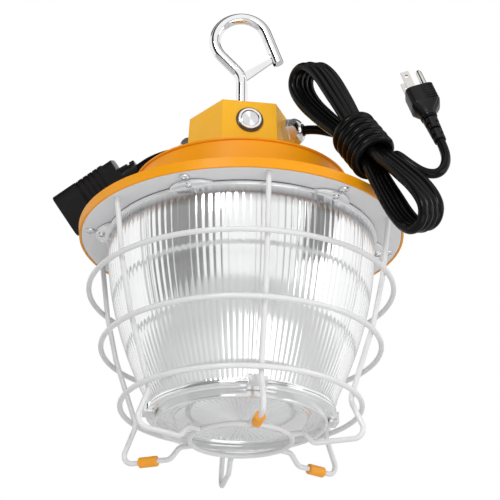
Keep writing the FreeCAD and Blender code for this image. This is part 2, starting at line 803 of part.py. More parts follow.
def make_guard():
    ground = "rim_height - foot_drop"
    ring_height = "rim_height - centre_ring_drop"
    corners = [
        ("guard_top_radius", "rim_height + plate_under"),
        ("guard_shoulder_radius", "rim_height - guard_shoulder_drop", "40"),
        ("guard_hip_radius", "rim_height - guard_hip_drop", "40"),
        ("guard_waist_radius", "rim_height - guard_waist_drop", "12"),
        ("foot_corner_radius", ground, "7"),
        ("foot_inner_radius", ground, "6"),
        ("rise_radius", ring_height, "6"),
        ("centre_ring_radius + wire - weld_depth", ring_height),
    ]
    for i, azimuth in enumerate(WIRE_AZIMUTHS, start=1):
        keep(bent_wire(f"guard_wire_{i}", corners, "wire", radial(azimuth)), f"guard_wire_{i}")

    points = [(value(x), value(y)) for x, y, *_ in corners]
    for name, drop in (("upper", "upper_ring_drop"), ("middle", "middle_ring_drop"),
                       ("lower", "lower_ring_drop")):
        height = value(f"rim_height - {drop}")
        above, below = next((a, b) for a, b in zip(points, points[1:]) if a[1] >= height >= b[1])
        slope = (below[0] - above[0]) / (below[1] - above[1])
        wire_radius = above[0] + slope * (height - above[1])
        apart = value("2 * wire - weld_depth") * math.hypot(1, slope)
        keep(ring(f"guard_ring_{name}", str(round(wire_radius + apart, 2)), "wire", at(0, 0, height)),
             f"guard_ring_{name}")
    keep(ring("guard_ring_centre", "centre_ring_radius", "wire", at(0, 0, value(ring_height))),
         "guard_ring_centre")

    outline = [
        ("wire + running_play", "0"),
        ("sleeve_radius - sleeve_round", "0"),
        ("sleeve_radius", "sleeve_round", "sleeve_round", -1),
        ("sleeve_radius", "sleeve_long - sleeve_round"),
        ("sleeve_radius - sleeve_round", "sleeve_long", "sleeve_round", -1),
        ("wire + running_play", "sleeve_long"),
    ]
    sleeves = []
    for i, azimuth in enumerate(SLEEVED_WIRES, start=1):
        start = on_circle(value("sleeve_start"), azimuth, value(ground))
        outwards = start.Rotation.multiply(Rotation(Vector(1, 0, 0), 90))
        sleeves.append(turned(f"foot_sleeve_{i}", outline, Placement(start.Base, outwards)))
    group("foot_sleeves", sleeves)


# ---- hook, gate and what holds them -----------------------------------------------------------


def hook_place(across=0.0, rise="0", depth=0.0):
    """A placement in the hook's own frame: across the hook, up from the rim and through its plane."""
    turn = Rotation(Vector(0, 0, 1), value("hook_turn"))
    point = turn.multVec(Vector(across, depth, 0)) + Vector(0, 0, value("rim_height") + value(rise))
    return Placement(point, turn)


def tangent_point(centre, radius, outside, side):
    """Where a line from a point outside a circle touches it; side picks one of the two."""
    gap = outside - centre
    swing = math.acos(radius / gap.Length) * side
    angle = math.atan2(gap.y, gap.x) + swing
    return centre + Vector(math.cos(angle), math.sin(angle), 0) * radius


def hook_path(sketch):
    """The rod's centreline: a shank, a bend to the left, a wide loop over the axis and a straight tip."""
    rim = value("rim_height")
    bottom = Vector(0, rim + value("hook_end_rise"), 0)
    bend_start = Vector(0, rim + value("hook_bend_rise"), 0)
    bend_radius = value("hook_bend")
    bend_centre = bend_start - Vector(bend_radius, 0, 0)
    loop = Vector(-value("hook_loop_across"), rim + value("hook_loop_rise"), 0)
    loop_radius = value("hook_loop")
    tip = Vector(value("hook_tip_across"), rim + value("hook_tip_rise"), 0)
    # The straight between the bend and the loop is an inner tangent of their two circles.
    split = loop_radius / (loop_radius + bend_radius)
    crossing = loop + (bend_centre - loop) * split
    bend_end = tangent_point(bend_centre, bend_radius, crossing, -1)
    loop_start = tangent_point(loop, loop_radius, crossing, -1)
    loop_end = tangent_point(loop, loop_radius, tip, 1)

    def middle(centre, a, b, radius, towards):
        out = ((a - centre) + (b - centre)).normalize() * radius
        return centre + out if (out.dot(towards) > 0) else centre - out

    bend_middle = middle(bend_centre, bend_start, bend_end, bend_radius, Vector(1, 1, 0))
    loop_middle = middle(loop, loop_start, loop_end, loop_radius, Vector(-1, 1, 0))
    edges = [
        Part.LineSegment(bottom, bend_start),
        Part.Arc(bend_start, bend_middle, bend_end),
        Part.LineSegment(bend_end, loop_start),
        Part.Arc(loop_start, loop_middle, loop_end),
        Part.LineSegment(loop_end, tip),
    ]
    joints = [bend_start, bend_end, loop_start, loop_end]
    for edge in edges:
        sketch.addGeometry(edge, False)

    def vertex(edge, point):
        return 1 if sketch.getPoint(edge, 1).distanceToPoint(point) < 1e-6 else 2

    for i, point in enumerate(joints):
        ends = (i, vertex(i, point), i + 1, vertex(i + 1, point))
        sketch.addConstraint(Sketcher.Constraint("Tangent", *ends))
    fix_corner(sketch, 0, 1, "0", "rim_height + hook_end_rise")
    fix_corner(sketch, 0, 2, "0", "rim_height + hook_bend_rise")
    fix_corner(sketch, 3, 3, "0 - hook_loop_across", "rim_height + hook_loop_rise")
    for edge, radius in ((1, "hook_bend"), (3, "hook_loop")):
        number = sketch.addConstraint(Sketcher.Constraint("Radius", edge, value(radius)))
        sketch.setExpression(f"Constraints[{number}]", formula(radius))
    fix_corner(sketch, 4, 2, "hook_tip_across", "rim_height + hook_tip_rise")


def make_hook():
    turn = hook_place().Rotation
    body = new_body("hook_bar")
    path = new_sketch(body, "XZ_Plane")
    hook_path(path)
    section = body.newObject("Sketcher::SketchObject", "hook_section")
    section.AttachmentSupport = [(path, "Edge1")]
    section.MapMode = "NormalToEdge"
    section.addGeometry(Part.Circle(Vector(0, 0, 0), Vector(0, 0, 1), value("hook_rod")), False)
    section.addConstraint(Sketcher.Constraint("Coincident", 0, 3, -1, 1))
    number = section.addConstraint(Sketcher.Constraint("Radius", 0, value("hook_rod")))
    section.setExpression(f"Constraints[{number}]", formula("hook_rod"))
    pipe = body.newObject("PartDesign::AdditivePipe", "hook_pipe")
    pipe.Profile = section
    pipe.Spine = path
    body.Placement = Placement(Vector(), turn)

    # Two pressed flats, a slot for the gate, a pin hole and a notch in the tip.
    pivot = value("gate_pivot_across"), "gate_pivot_rise"
    tools = []
    flat = value("hook_flat")
    for i, low in enumerate((flat, -flat - 4)):
        place = hook_place(-9, "hook_bend_rise - 2", low)
        tools.append(box(f"hook_flat_{i}", "15", "4", "13", place))
    slot = value("gate_slot")
    tools.append(box("hook_slot", "10", "2 * gate_slot", "19", hook_place(-3.3, "hook_bend_rise - 2", -slot)))
    drill = hook_place(pivot[0], pivot[1], value("hook_rod") + 1)
    drill = drill.multiply(Placement(Vector(), Rotation(Vector(1, 0, 0), 90)))
    tools.append(cylinder("hook_pin_hole", "gate_pin_radius", "2 * hook_rod + 2", drill))
    notch = hook_place(value("hook_tip_across") - 7.5, "hook_tip_rise - 4", -slot)
    tools.append(box("hook_notch", "5.5", "2 * gate_slot", "12", notch))
    keep(cut("hook_rod_solid", body, tools), "hook_rod")

    pin_place = hook_place(pivot[0], pivot[1], flat)
    pin_place = pin_place.multiply(Placement(Vector(), Rotation(Vector(1, 0, 0), 90)))
    keep(cylinder("gate_pin_solid", "gate_pin_radius", "2 * hook_flat", pin_place), "gate_pin")

    # The gate lies along its own +X from the pin to the notch.
    rise = value("hook_tip_rise") + 3.2 - value("gate_pivot_rise")
    across = value("hook_tip_across") - 4.6 - value("gate_pivot_across")
    lift = math.degrees(math.atan2(rise, across))
    outline = [
        ("0", "0 - gate_root_half"),
        ("gate_long - 1", "0 - gate_nose_half"),
        ("gate_long", "0 - gate_nose_half + 1"),
        ("gate_long", "gate_nose_half - 1"),
        ("gate_long - 1", "gate_nose_half"),
        ("0", "gate_root_half"),
    ]
    leaf_place = hook_place(pivot[0], pivot[1]).multiply(
        Placement(Vector(), Rotation(Vector(0, 1, 0), -lift)))
    leaf = plate("gate_leaf", outline, "2 * gate_half_thickness", "XZ_Plane", leaf_place, True)
    hub_place = hook_place(pivot[0], pivot[1], value("gate_half_thickness"))
    hub_place = hub_place.multiply(Placement(Vector(), Rotation(Vector(1, 0, 0), 90)))
    hub = cylinder("gate_hub", "gate_root_half", "2 * gate_half_thickness", hub_place)
    bore_place = stepped(hub_place, -1)
    bore = cylinder("gate_bore", "gate_pin_radius + running_play", "2 * gate_half_thickness + 2", bore_place)
    keep(cut("hook_gate_solid", fuse("gate_with_hub", [leaf, hub]), [bore]), "hook_gate")

    coils = []
    for i, side in enumerate((-1, 1)):
        depth = side * value("spring_side")
        place = hook_place(pivot[0], pivot[1], depth)
        place = place.multiply(Placement(Vector(), Rotation(Vector(1, 0, 0), 90)))
        coils.append(ring(f"gate_coil_{i}", "spring_coil", "spring_wire", place))
        leg = hook_place(pivot[0] - value("spring_coil"), "hook_bend_rise - 2", depth)
        coils.append(cylinder(f"gate_leg_{i}", "spring_wire", "gate_pivot_rise - hook_bend_rise + 2", leg))
    group("gate_spring", coils)

    top = "rim_height + box_top_rise"
    collar_low = f"{top} + 2"
    outline = [
        ("hook_rod", collar_low),
        ("collar_radius", collar_low),
        ("collar_radius", f"{collar_low} + collar_tall - 2"),
        ("collar_radius - 2", f"{collar_low} + collar_tall"),
        ("hook_rod", f"{collar_low} + collar_tall"),
    ]
    keep(turned("hook_collar", outline), "hook_collar")
    outline = [
        ("hook_rod + running_play", f"{top} - box_wall - 1"),
        ("bushing_sleeve", f"{top} - box_wall - 1"),
        ("bushing_sleeve", top),
        ("bushing_flange", top),
        ("bushing_flange", f"{top} + 1.9"),
        ("hook_rod + running_play", f"{top} + 1.9"),
    ]
    keep(turned("hook_bushing", outline), "hook_bushing")
    nut_high = value(f"{top} - box_wall - 1.2")
    nut_place = at(0, 0, nut_high - value("nut_tall"))
    nut = hexagon("hook_nut_block", "nut_corner", "nut_tall", nut_place)
    nut_bore = cylinder("hook_nut_bore", "hook_rod", "nut_tall + 2", stepped(nut_place, -1))
    keep(cut("hook_nut_solid", nut, [nut_bore]), "hook_nut")


# ---- push button ------------------------------------------------------------------------------


def make_button():
    face = face_of_box(0, "button_rise")

    def on_face(label, outline):
        return keep(turned(label, outline, face), label)

    seal = "button_seal_thickness"
    proud = f"{seal} + bezel_proud"
    on_face("button_seal", [
        ("bezel_barrel", "0"),
        ("button_seal_radius", "0"),
        ("button_seal_radius", seal),
        ("bezel_barrel", seal),
    ])
    on_face("button_bezel", [
        ("bezel_bore", "0 - bezel_depth"),
        ("bezel_barrel", "0 - bezel_depth"),
        ("bezel_barrel", seal),
        ("bezel_radius", seal),
        ("bezel_radius", f"{proud} - 0.6"),
        ("bezel_radius - 0.6", proud, "0.6", -1),
        ("bezel_bore + 0.4", proud),
        ("bezel_bore", f"{proud} - 0.4"),
    ])
    high = f"{proud} - button_sunk"
    on_face("button_cap", [
        ("0", "0 - button_depth"),
        ("button_radius", "0 - button_depth"),
        ("button_radius", f"{high} - 0.3"),
        ("button_radius - 0.3", high),
        ("0", high),
    ])
    floor = "0 - button_depth - button_travel - 1"
    on_face("switch_block", [
        ("0", f"{floor} - switch_long"),
        ("bezel_bore - 0.1", f"{floor} - switch_long"),
        ("bezel_bore - 0.1", floor),
        ("0", floor),
    ])
    nut_top = value("box_wall") + 0.05
    nut_place = stepped(face, -nut_top - value("button_nut_tall"))
    nut = hexagon("button_nut_block", "button_nut_corner", "button_nut_tall", nut_place)
    bore = cylinder("button_nut_bore", "bezel_barrel", "button_nut_tall + 2", stepped(nut_place, -1))
    keep(cut("button_nut_solid", nut, [bore]), "button_nut")


# ---- cord glands ------------------------------------------------------------------------------


def make_glands():
    """Two nickel glands, each a body, a domed nut, a rubber seal and a locknut inside the box.

    Returns where each cord begins: the seals' inner ends, with +Z along the cord's way out."""
    bodies, nuts, seals, locknuts, starts = [], [], [], [], []
    for azimuth in (CORD_GLAND_AZIMUTH, OUTLET_GLAND_AZIMUTH):
        name = f"gland_{azimuth}"
        face = face_of_box(azimuth, "gland_rise")
        base = hexagon(f"{name}_hex", "gland_corner", "gland_hex_tall", face)
        inner_end = stepped(face, -value("gland_inner"))
        thread = cylinder(f"{name}_thread", "gland_thread", "gland_inner + gland_hex_tall", inner_end)
        bore_start = stepped(inner_end, -1)
        bore = cylinder(f"{name}_bore", "gland_bore", "gland_inner + gland_hex_tall + 2", bore_start)
        bodies.append(cut(f"{name}_body", fuse(f"{name}_block", [base, thread]), [bore]))

        nut_low = stepped(face, value("gland_hex_tall"))
        nut = hexagon(f"{name}_nut_hex", "gland_nut_corner", "gland_nut_tall", nut_low)
        dome = turned(f"{name}_dome", [
            ("0", "0"),
            ("gland_nut_corner", "0"),
            ("gland_nut_corner", "gland_nut_tall * 0.45"),
            ("gland_bore + 1.2", "gland_nut_tall", "gland_nut_corner", -1),
            ("0", "gland_nut_tall"),
        ], nut_low)
        both = doc.addObject("Part::MultiCommon", f"{name}_nut_round")
        both.Shapes = [nut, dome]
        nut_bore = cylinder(f"{name}_nut_bore", "gland_bore", "gland_nut_tall + 2", stepped(nut_low, -1))
        nuts.append(cut(f"{name}_nut", both, [nut_bore]))

        start = stepped(nut_low, value("gland_nut_tall + gland_seal_proud - gland_seal_tall"))
        seals.append(turned(f"{name}_seal", [
            ("cord_radius", "0"),
            ("gland_bore", "0"),
            ("gland_bore", "gland_seal_tall"),
            ("cord_radius", "gland_seal_tall"),
        ], start))
        starts.append(start)

        lock_low = stepped(face, -value("box_wall + running_play + locknut_tall"))
        lock = hexagon(f"{name}_lock_hex", "gland_corner", "locknut_tall", lock_low)
        lock_bore = cylinder(f"{name}_lock_bore", "gland_thread", "locknut_tall + 2", stepped(lock_low, -1))
        locknuts.append(cut(f"{name}_locknut", lock, [lock_bore]))
    group("gland_bodies", bodies)
    group("gland_nuts", nuts)
    group("gland_seals", seals)
    group("gland_locknuts", locknuts)
    return starts


# ---- cord, hank, plug and socket --------------------------------------------------------------


def cord_tube(label, points):
    """A round tube along straight runs joined by arcs as large as the runs allow."""
    edges, here = [], points[0]
    length = 0.0
    radii = []
    for before, corner, after in zip(points, points[1:], points[2:]):
        into = (corner - before).normalize()
        out = (after - corner).normalize()
        half_turn = into.getAngle(out) / 2
        reach = 0.45 * min((corner - before).Length, (after - corner).Length)
        radius = reach / math.tan(half_turn)
        radii.append(round(radius))
        first, last = corner - into * reach, corner + out * reach
        inwards = (out - into).normalize()
        middle = corner + inwards * (radius / math.cos(half_turn) - radius)
        edges.append(Part.LineSegment(here, first).toShape())
        edges.append(Part.Arc(first, middle, last).toShape())
        length += (first - here).Length + 2 * half_turn * radius
        here = last
    edges.append(Part.LineSegment(here, points[-1]).toShape())
    length += (points[-1] - here).Length
    spine = Part.Wire(edges)
    start = (points[1] - points[0]).normalize()
    thickness = value("cord_radius")
    section = Part.Wire([Part.Circle(points[0], start, thickness).toShape()])
    tube = spine.makePipeShell([section], True, False)
    piece = doc.addObject("Part::Feature", label)
    piece.Shape = tube
    keep(piece, label)
    expected = math.pi * thickness**2 * length
    print(label, "length", round(length), "radii", radii, "volume share", round(tube.Volume / expected, 4))


def make_hank():
    """The tied hank as one solid of its outer shape: a waist of wraps between two rounded loops."""
    place = along(HANK_MIDDLE, HANK_ALONG, HANK_ACROSS)
    waist_low = stepped(place, -value("hank_waist_long") / 2)
    shapes = [cylinder("hank_waist", "hank_waist_radius", "hank_waist_long", waist_low)]
    for i, side in enumerate((-1, 1)):
        widest = stepped(place, side * value("hank_loop_offset"))
        bend = bind(doc.addObject("Part::Ellipsoid", f"hank_bend_{i}"), Radius1="hank_loop_round",
                    Radius2="hank_half_width", Radius3="hank_half_depth")
        bend.Angle1, bend.Angle2, bend.Angle3 = -90, 90, 360
        bend.Placement = widest
        neck = bind(doc.addObject("Part::Ellipse", f"hank_neck_{i}"), MajorRadius="hank_neck_half_width",
                    MinorRadius="hank_neck_half_depth")
        neck.Placement = stepped(place, side * value("hank_waist_long") / 4)
        wide = bind(doc.addObject("Part::Ellipse", f"hank_wide_{i}"), MajorRadius="hank_half_width",
                    MinorRadius="hank_half_depth")
        wide.Placement = widest
        strands = doc.addObject("Part::Loft", f"hank_strands_{i}")
        strands.Sections = [neck, wide] if side > 0 else [wide, neck]
        strands.Solid = True
        strands.Ruled = True
        shapes += [bend, strands]
    keep(fuse("cord_hank_solid", shapes), "cord_hank")


def relief(name, placement, start, end, long):
    """A tapered strain relief round a cord, along the placement's +Z."""
    outline = [("0", "0"), (start, "0"), (end, long), ("0", long)]
    return turned(name, outline, placement)


def make_plug():
    place = along(Vector(*TAIL_ROUTE[-1]), PLUG_AXIS, PLUG_GROUND_SIDE)
    sleeve = relief("plug_relief", place, "relief_start", "relief_end", "relief_long")
    neck_place = stepped(place, value("relief_long"))
    neck = bind(doc.addObject("Part::Cone", "plug_neck"), Radius1="relief_end + 0.6",
                Radius2="plug_deep / 2 - 0.5", Height="plug_neck_long")
    neck.Placement = neck_place
    body_low = stepped(neck_place, value("plug_neck_long") - 2)
    corner = Placement(Vector(-value("plug_low_side"), -value("plug_deep") / 2, 0), Rotation())
    block = box("plug_block", "plug_wide", "plug_deep", "plug_body_long + 2", body_low.multiply(corner))
    keep(fuse("plug_body_solid", [sleeve, neck, block]), "plug_body")
    front = stepped(neck_place, value("plug_neck_long + plug_body_long"))
    blades = []
    for i, side in enumerate((-1, 1)):
        spot = Vector(-value("blade_offset") - value("blade_wide") / 2,
                      side * value("blade_side") - value("blade_thick") / 2, 0)
        blade = box(f"blade_{i}", "blade_wide", "blade_thick", "blade_long",
                    front.multiply(Placement(spot, Rotation())))
        drill_side = side * value("blade_side") + 2
        drill_spot = Vector(-value("blade_offset"), drill_side, value("blade_hole_from_face"))
        drill = cylinder(f"blade_drill_{i}", "blade_hole", "4",
                         front.multiply(Placement(drill_spot, Rotation(Vector(1, 0, 0), 90))))
        blades.append(cut(f"blade_cut_{i}", blade, [drill]))
    group("plug_blades", blades)
    pin_spot = Placement(Vector(value("ground_offset"), 0, 0), Rotation())
    outline = [
        ("0", "0"),
        ("ground_radius", "0"),
        ("ground_radius", "ground_long - 2"),
        ("ground_radius - 1.2", "ground_long"),
        ("0", "ground_long"),
    ]
    keep(turned("plug_ground_pin", outline, front.multiply(pin_spot)), "plug_ground_pin")


def make_socket():
    place = along(SOCKET_START, SOCKET_AXIS, SOCKET_WIDE_SIDE)
    sleeve = relief("socket_relief", place, "socket_relief_start", "socket_relief_end", "socket_relief_long")
    low = stepped(place, value("socket_relief_long"))
    half_wide, half_deep, bevel = "socket_wide / 2", "socket_deep / 2", "socket_round"
    outline = [
        (f"0 - {half_wide}", f"{bevel} - {half_deep}"),
        (f"{bevel} - {half_wide}", f"0 - {half_deep}", bevel, -1),
        (f"{half_wide} - {bevel}", f"0 - {half_deep}"),
        (half_wide, f"{bevel} - {half_deep}", bevel, -1),
        (half_wide, f"{half_deep} - {bevel}"),
        (f"{half_wide} - {bevel}", half_deep, bevel, -1),
        (f"{bevel} - {half_wide}", half_deep),
        (f"0 - {half_wide}", f"{half_deep} - {bevel}", bevel, -1),
    ]
    block = plate("socket_block", outline, "socket_long", placement=low)
    face = stepped(low, value("socket_long"))
    deep = value("slot_deep")
    tools, contacts = [], []
    for i, side in enumerate((-1, 1)):
        spot = Vector(-value("blade_offset") - value("slot_wide") / 2,
                      side * value("blade_side") - value("slot_thick") / 2, -deep)
        slot_place = face.multiply(Placement(spot, Rotation()))
        tools.append(box(f"socket_slot_{i}", "slot_wide", "slot_thick", "slot_deep + 1", slot_place))
        contacts.append(box(f"socket_contact_{i}", "slot_wide", "contact_thick", "slot_deep - 3", slot_place))
    hole_spot = Placement(Vector(value("ground_offset"), 0, -deep), Rotation())
    hole_place = face.multiply(hole_spot)
    tools.append(cylinder("socket_ground_hole", "ground_hole", "slot_deep + 1", hole_place))
    tube = turned("socket_ground_contact", [
        ("ground_contact", "0"), ("ground_hole", "0"),
        ("ground_hole", "slot_deep - 3"), ("ground_contact", "slot_deep - 3"),
    ], hole_place)
    keep(cut("socket_body_solid", fuse("socket_with_relief", [sleeve, block]), tools), "socket_body")
    group("socket_contacts", contacts + [tube])


def make_cords(starts):
    """The lead, hank and tail of the mains cord with its plug, and the outlet lead with its socket."""
    cord_start, outlet_start = starts
    straight = stepped(cord_start, value("lead_straight")).Base
    cord_tube("cord_lead", [cord_start.Base, straight] + [Vector(*p) for p in LEAD_ROUTE])
    make_hank()
    cord_tube("cord_tail", [Vector(*p) for p in TAIL_ROUTE])
    make_plug()

    straight = stepped(outlet_start, value("outlet_straight")).Base
    before = SOCKET_START - SOCKET_AXIS * value("outlet_last_run")
    cord_tube("outlet_lead", [outlet_start.Base, straight, before, SOCKET_START])
    make_socket()


make_bell_housing()
make_lid()
make_box()
make_electrics()
make_plates()
make_lens()
make_guard()
make_hook()
make_button()
make_cords(make_glands())
doc.recompute()

for item in doc.Objects:
    if "Invalid" in item.State or "Error" in item.State:
        raise RuntimeError(f"{item.Label} failed: {item.State}")
for piece in pieces:
    if piece.Shape.isNull() or not piece.Shape.isValid():
        raise RuntimeError(f"{piece.Label} has no valid shape")

os.makedirs("parts", exist_ok=True)
for piece in pieces:
    piece.Shape.exportStep(f"parts/{piece.Label}.step")
print(len(pieces), "pieces written")
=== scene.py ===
import json
import math

import bpy
from mathutils import Matrix, Vector


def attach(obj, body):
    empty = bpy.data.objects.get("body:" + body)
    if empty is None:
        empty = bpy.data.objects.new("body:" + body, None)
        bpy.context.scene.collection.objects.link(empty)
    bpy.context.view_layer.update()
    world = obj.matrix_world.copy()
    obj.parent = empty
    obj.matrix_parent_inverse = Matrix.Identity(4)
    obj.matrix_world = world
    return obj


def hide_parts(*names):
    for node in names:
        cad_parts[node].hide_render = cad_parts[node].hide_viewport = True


# The looks of a hanging LED work light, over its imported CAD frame. Metres, +Z up. The camera
# looks up at the lamp from below its front, so the floor lies well under both.

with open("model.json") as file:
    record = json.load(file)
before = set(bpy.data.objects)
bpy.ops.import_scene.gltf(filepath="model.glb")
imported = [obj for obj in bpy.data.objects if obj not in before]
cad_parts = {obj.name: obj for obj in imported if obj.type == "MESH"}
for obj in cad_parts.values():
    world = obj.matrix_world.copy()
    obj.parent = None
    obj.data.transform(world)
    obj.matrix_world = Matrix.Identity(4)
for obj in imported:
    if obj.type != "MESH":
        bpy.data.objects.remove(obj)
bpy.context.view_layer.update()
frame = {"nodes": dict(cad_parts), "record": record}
nodes = frame["nodes"]
scene = bpy.context.scene
scene.view_settings.view_transform = "Standard"
# The height of the bell's rim, which the lens, the cap, the screws and the glands are placed from.
RIM = 0.1735


# ---- camera ----------------------------------------------------------------------------------

camera_data = bpy.data.cameras.new("camera")
camera = bpy.data.objects.new("camera", camera_data)
scene.collection.objects.link(camera)
camera.location = (-0.1931, -1.1540, -0.3736)
camera.rotation_euler = Vector((0.155, 0.895, 0.419)).to_track_quat("-Z", "Y").to_euler()
camera_data.sensor_width = 36
camera_data.lens = 120.27
scene.camera = camera


# ---- places ---------------------------------------------------------------------------------


def place_along(start, axis, side):
    """A matrix at a point with +Z along axis and +X as near to side as it goes."""
    z = Vector(axis).normalized()
    x = Vector(side)
    x = (x - z * x.dot(z)).normalized()
    y = z.cross(x)
    turn = Matrix((x, y, z)).transposed().to_4x4()
    return Matrix.Translation(start) @ turn


# ---- material helpers ------------------------------------------------------------------------


def new_material(name, color, roughness, metallic=0.0):
    """A principled material with its plain values set on the shader."""
    material = bpy.data.materials.new(name)
    material.use_nodes = True
    tree = material.node_tree
    shader = tree.nodes["Principled BSDF"]
    shader.inputs["Base Color"].default_value = (*color, 1)
    shader.inputs["Roughness"].default_value = roughness
    shader.inputs["Metallic"].default_value = metallic
    return material, tree, shader


def noise(tree, scale, detail=3.0):
    """A noise value in the part's own coordinates."""
    coordinates = tree.nodes.new("ShaderNodeTexCoord")
    texture = tree.nodes.new("ShaderNodeTexNoise")
    texture.inputs["Scale"].default_value = scale
    texture.inputs["Detail"].default_value = detail
    tree.links.new(coordinates.outputs["Object"], texture.inputs["Vector"])
    return texture.outputs["Fac"]


def ramp(tree, value, *stops):
    """A colour ramp over a value. Each stop is (position, (r, g, b))."""
    node = tree.nodes.new("ShaderNodeValToRGB")
    elements = node.color_ramp.elements
    while len(elements) < len(stops):
        elements.new(0.5)
    for element, (position, color) in zip(elements, stops):
        element.position = position
        element.color = (*color, 1)
    tree.links.new(value, node.inputs["Fac"])
    return node.outputs["Color"]


def spread(tree, value, low, high):
    """A noise value's usual range, 0.3 to 0.7, mapped to the range from low to high."""
    node = tree.nodes.new("ShaderNodeMapRange")
    node.inputs["From Min"].default_value = 0.3
    node.inputs["From Max"].default_value = 0.7
    node.inputs["To Min"].default_value = low
    node.inputs["To Max"].default_value = high
    tree.links.new(value, node.inputs["Value"])
    return node.outputs["Result"]


def between(tree, value, low, high):
    """How far a value is from low to high, from 0 to 1."""
    node = tree.nodes.new("ShaderNodeMapRange")
    node.inputs["From Min"].default_value = low
    node.inputs["From Max"].default_value = high
    tree.links.new(value, node.inputs["Value"])
    return node.outputs["Result"]


def bump(tree, shader, value, strength, distance):
    """Fine relief from a value."""
    node = tree.nodes.new("ShaderNodeBump")
    node.inputs["Strength"].default_value = strength
    node.inputs["Distance"].default_value = distance
    tree.links.new(value, node.inputs["Height"])
    tree.links.new(node.outputs["Normal"], shader.inputs["Normal"])


def shades(color, amount):
    """A darker and a lighter neighbour of a colour."""
    dark = tuple(c * (1 - amount) for c in color)
    light = tuple(min(1.0, c * (1 + amount)) for c in color)
    return dark, light


def worn(tree, shader, color, amount, scale):
    """Soft, large colour variation."""
    dark, light = shades(color, amount)
    tint = ramp(tree, noise(tree, scale), (0.3, dark), (0.7, light))
    tree.links.new(tint, shader.inputs["Base Color"])


def paint(name, color, roughness, coat, variation=0.04):
    """Powder coat: even colour, a fine orange peel and a clear gloss."""
    material, tree, shader = new_material(name, color, roughness)
    worn(tree, shader, color, variation, 14)
    shader.inputs["Specular IOR Level"].default_value = 0.25
    shader.inputs["Coat Weight"].default_value = coat
    shader.inputs["Coat Roughness"].default_value = 0.12
    rough = spread(tree, noise(tree, 60), roughness * 0.85, roughness * 1.2)
    tree.links.new(rough, shader.inputs["Roughness"])
    bump(tree, shader, noise(tree, 1400, 2), 0.06, 0.0002)
    return material


def metal(name, color, roughness, scratch=0.0):
    """Bare or plated metal with faint smears in its gloss."""
    material, tree, shader = new_material(name, color, roughness, 1.0)
    worn(tree, shader, color, 0.05, 40)
    rough = spread(tree, noise(tree, 90, 4), roughness * 0.6, roughness * 1.5)
    tree.links.new(rough, shader.inputs["Roughness"])
    if scratch:
        bump(tree, shader, noise(tree, 500), scratch, 0.0001)
    return material


def moulded(name, color, roughness, grain=0.1, scale=2200, specular=0.5):
    """Moulded plastic or rubber with a fine grain."""
    material, tree, shader = new_material(name, color, roughness)
    worn(tree, shader, color, 0.1, 30)
    shader.inputs["Specular IOR Level"].default_value = specular
    rough = spread(tree, noise(tree, 70), roughness * 0.8, roughness * 1.25)
    tree.links.new(rough, shader.inputs["Roughness"])
    bump(tree, shader, noise(tree, scale, 2), grain, 0.0001)
    return material


def clear(name, tint, roughness, ior, mirror, through):
    """Clear moulded plastic or silicone: some of it mirrors and some lets light through."""
    material, tree, shader = new_material(name, tint, roughness, mirror)
    worn(tree, shader, tint, 0.02, 25)
    shader.inputs["Transmission Weight"].default_value = through
    shader.inputs["IOR"].default_value = ior
    shader.inputs["Coat Weight"].default_value = 0.5
    shader.inputs["Coat Roughness"].default_value = 0.03
    bump(tree, shader, noise(tree, 120, 2), 0.04, 0.0003)
    return material


def lens_plastic():
    """The bucket's plastic, with a grey band painted into its colour just under its top edge."""
    material = clear("lens_plastic", (0.93, 0.94, 0.94), 0.10, 1.45, 0.62, 0.22)
    tree = material.node_tree
    shader = tree.nodes["Principled BSDF"]
    split = tree.nodes.new("ShaderNodeSeparateXYZ")
    coordinates = tree.nodes.new("ShaderNodeTexCoord")
    tree.links.new(coordinates.outputs["Object"], split.inputs["Vector"])
    height = between(tree, split.outputs["Z"], RIM - 0.030, RIM)
    clean, under_flange_grey = (0.94, 0.945, 0.95), (0.34, 0.34, 0.35)
    # A grey band painted into the colour just under the flange, darkest about 8 mm below the rim.
    tint = ramp(
        tree, height,
        (0.0, clean), (0.45, clean), (0.62, (0.66, 0.665, 0.67)), (0.72, under_flange_grey),
        (0.80, (0.62, 0.62, 0.63)), (0.90, clean), (1.0, clean),
    )
    tree.links.new(tint, shader.inputs["Base Color"])
    return material


def turned_metal(name):
    """Metal brushed round its own axis, which runs front to back."""
    silver = (0.74, 0.74, 0.75)
    material, tree, shader = new_material(name, silver, 0.32, 1.0)
    worn(tree, shader, silver, 0.05, 60)
    shader.inputs["Anisotropic"].default_value = 0.85
    around = tree.nodes.new("ShaderNodeTangent")
    around.direction_type = "RADIAL"
    around.axis = "Y"
    tree.links.new(around.outputs["Tangent"], shader.inputs["Tangent"])
    bump(tree, shader, noise(tree, 700), 0.08, 0.0001)
    return material


# ---- materials -------------------------------------------------------------------------------

HOUSING_PAINT = paint("housing_paint", (0.88, 0.34, 0.002), 0.45, 0.06)
# A lighter, yellower copy of the housing paint for the wiring box: painted light, standing for the key
# light on the box's faces.
HOUSING_PAINT_LIT = paint("housing_paint_lit", (0.97, 0.50, 0.015), 0.45, 0.06)
WHITE_PAINT = paint("white_paint", (0.77, 0.77, 0.78), 0.45, 0.1, variation=0.02)
CAGE_PAINT = paint("cage_paint", (0.74, 0.74, 0.74), 0.30, 0.4, variation=0.02)
SLEEVE = moulded("sleeve_plastic", (0.90, 0.36, 0.02), 0.45)
LENS = lens_plastic()
CAP = clear("cap_plastic", (0.90, 0.905, 0.91), 0.08, 1.45, 0.40, 0.40)
CLIP = clear("clip_plastic", (0.92, 0.925, 0.93), 0.10, 1.45, 0.30, 0.40)
SILICONE = clear("seal_silicone", (0.85, 0.85, 0.86), 0.30, 1.41, 0.0, 0.5)
SPREADER = metal("spreader_metal", (0.80, 0.80, 0.81), 0.35, 0.2)
